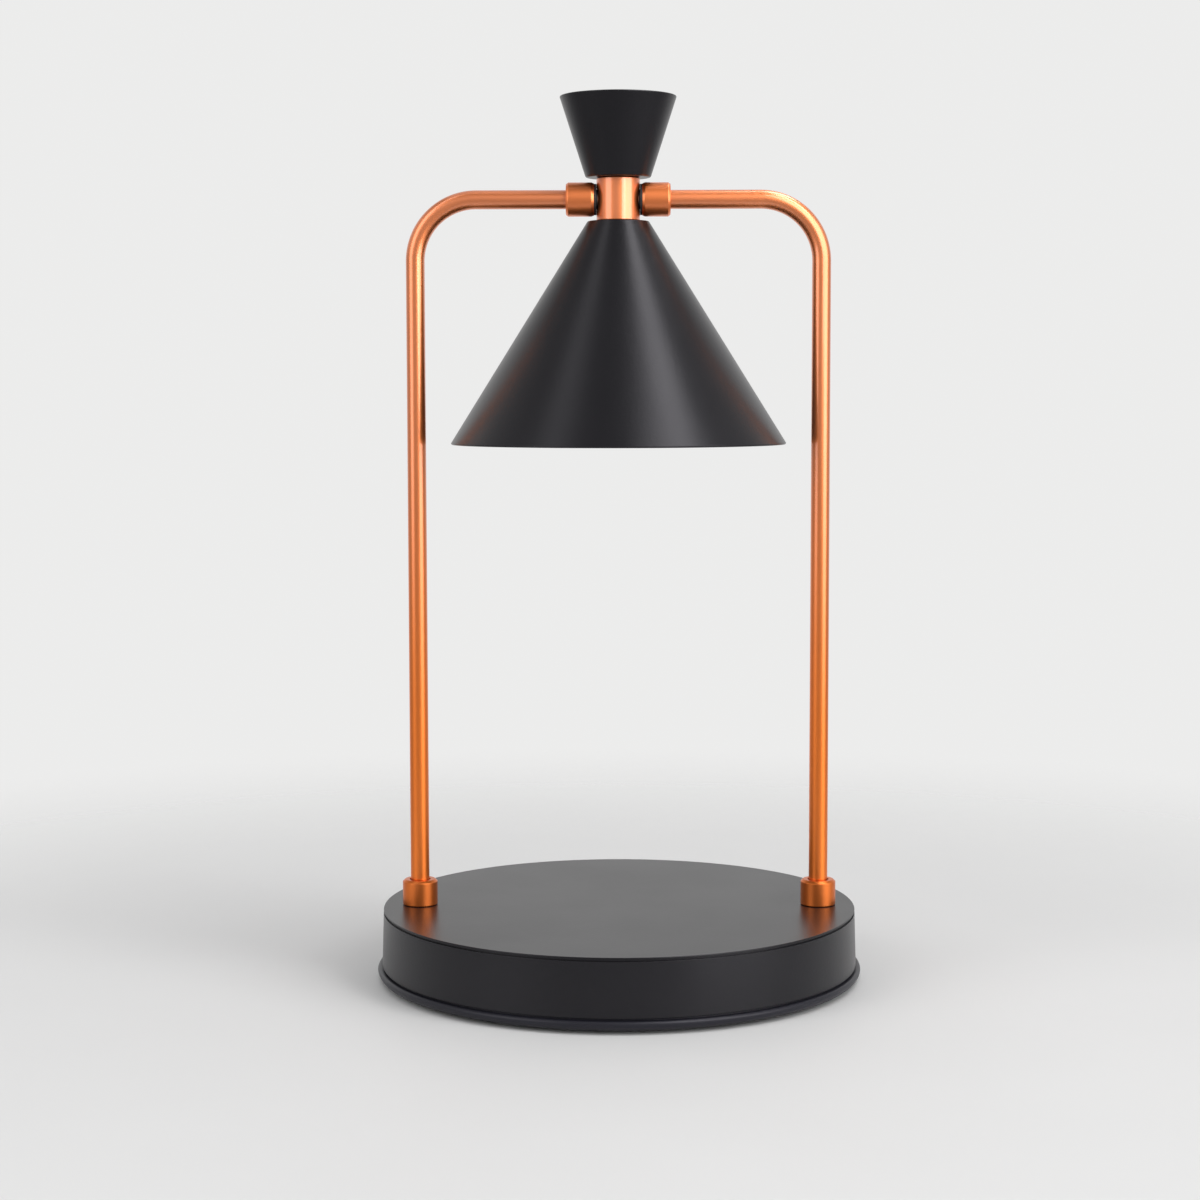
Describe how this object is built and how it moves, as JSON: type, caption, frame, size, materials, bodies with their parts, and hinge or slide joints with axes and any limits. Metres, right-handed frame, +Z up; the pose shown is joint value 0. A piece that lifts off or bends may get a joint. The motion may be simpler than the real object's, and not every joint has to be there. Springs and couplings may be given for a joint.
{
  "type": "candle warmer lamp",
  "caption": "Candle warmer lamp: a cone shade and small upper cone tilt between bent copper-coloured posts above a round weighted base, with a twist-lock reflector bulb.",
  "frame": {"origin": "centre of the base on the table, under the rubber feet", "axes": "+Z up, +X towards the right-hand post, -Y towards the user"},
  "size_m": [0.165, 0.165, 0.2976],
  "materials": {
    "powder_black": "satin",
    "plate_black": "matte",
    "copper_tube": "satin",
    "copper_collar": "satin",
    "copper_barrel": "satin",
    "zinc_steel": "satin",
    "grey_iron": "matte",
    "foot_rubber": "matte",
    "black_nylon": "matte",
    "terminal_white": "matte",
    "terminal_brass": "satin",
    "lead_sheath": "satin",
    "core_white": "satin",
    "porcelain": "matte",
    "pin_nickel": "satin",
    "reflector_coat": "gloss",
    "front_glass": "gloss",
    "burner_glass": "gloss"
  },
  "bodies": {
    "stand": {"base_shell": "powder_black", "base_plate": "plate_black", "rubber_feet": "foot_rubber", "base_screws": "zinc_steel", "counterweight": "grey_iron", "terminal_block": "terminal_white", "terminal_inserts": "terminal_brass", "terminal_screws": "zinc_steel", "cord_inlet": "black_nylon", "post_left": "copper_tube", "post_right": "copper_tube", "base_collar_left": "copper_collar", "base_collar_right": "copper_collar", "post_washers": "zinc_steel", "post_nuts": "zinc_steel", "lead_bush": "black_nylon", "post_lead": "lead_sheath", "head_collar_left": "copper_collar", "head_collar_right": "copper_collar", "pivot_screw_left": "copper_barrel", "pivot_screw_right": "copper_barrel", "friction_washers": "black_nylon"},
    "head": {"swivel_barrel": "copper_barrel", "stop_pin": "zinc_steel", "upper_stud": "zinc_steel", "upper_cone": "powder_black", "cone_washer": "zinc_steel", "cone_nut": "copper_barrel", "stem": "zinc_steel", "shade": "powder_black", "stem_washer": "zinc_steel", "shade_nut": "zinc_steel", "holder_plate": "zinc_steel", "plate_nut": "zinc_steel", "holder_body": "porcelain", "holder_face": "porcelain", "holder_screws": "zinc_steel", "holder_contacts": "terminal_brass", "head_leads": "core_white"},
    "bulb": {"bulb_cap": "porcelain", "bulb_pins": "pin_nickel", "bulb_reflector": "reflector_coat", "bulb_lens": "front_glass", "bulb_capsule": "burner_glass"}
  },
  "joints": [
    {"name": "head_tilt", "type": "hinge", "parent": "stand", "child": "head", "pos_m": [0, 0, 0.2635], "axis": [1, 0, 0], "range_deg": [-45, 45]},
    {"name": "bulb_twist", "type": "hinge", "parent": "head", "child": "bulb", "pos_m": [0, 0, 0.23355], "axis": [0, 0, -1], "range_deg": [0, 30]}
  ]
}
